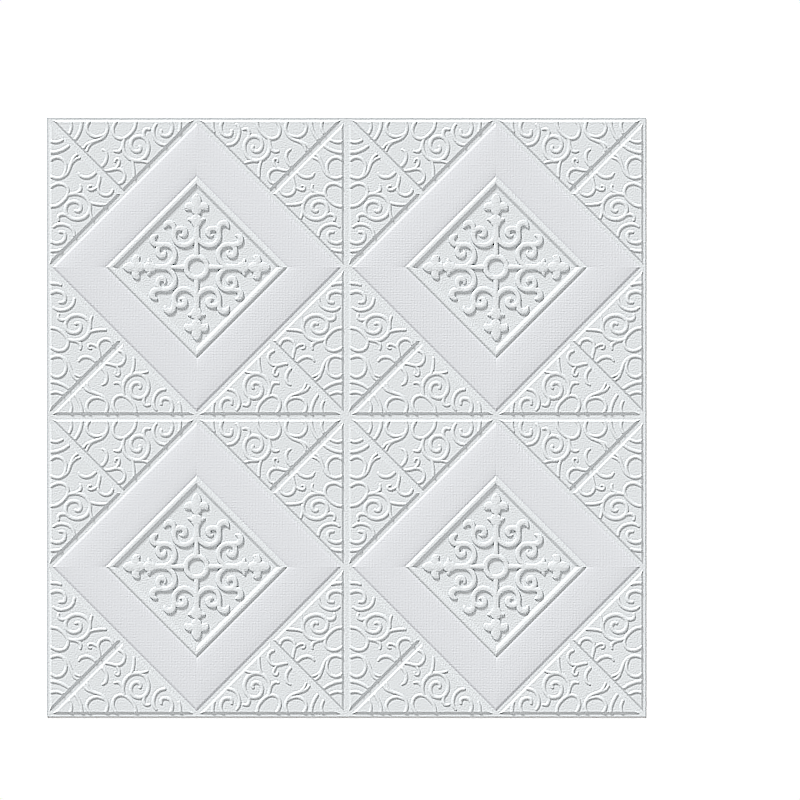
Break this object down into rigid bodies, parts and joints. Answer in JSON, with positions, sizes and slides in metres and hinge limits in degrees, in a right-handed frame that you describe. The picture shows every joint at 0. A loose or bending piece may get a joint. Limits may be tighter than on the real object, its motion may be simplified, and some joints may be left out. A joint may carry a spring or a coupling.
{
  "type": "self-adhesive embossed foam wall panel",
  "caption": "Square sheet of white foam, embossed with padded diamonds in bead frames and scroll-work corner pads between pressed lines; its flat adhesive back sticks to a wall or ceiling.",
  "frame": {"origin": "centre of the flat adhesive back, on the surface that the panel lies on", "axes": "+Z out of the embossed face, away from the wall; +X to the right and +Y up as the pattern hangs on a wall"},
  "size_m": [0.7, 0.7, 0.0055],
  "materials": {
    "foam": "soft white closed-cell polyethylene foam skin, satin, with a fine linen-weave emboss on the diamond bands"
  },
  "bodies": {
    "root": {"foam_panel": "foam"}
  },
  "joints": []
}
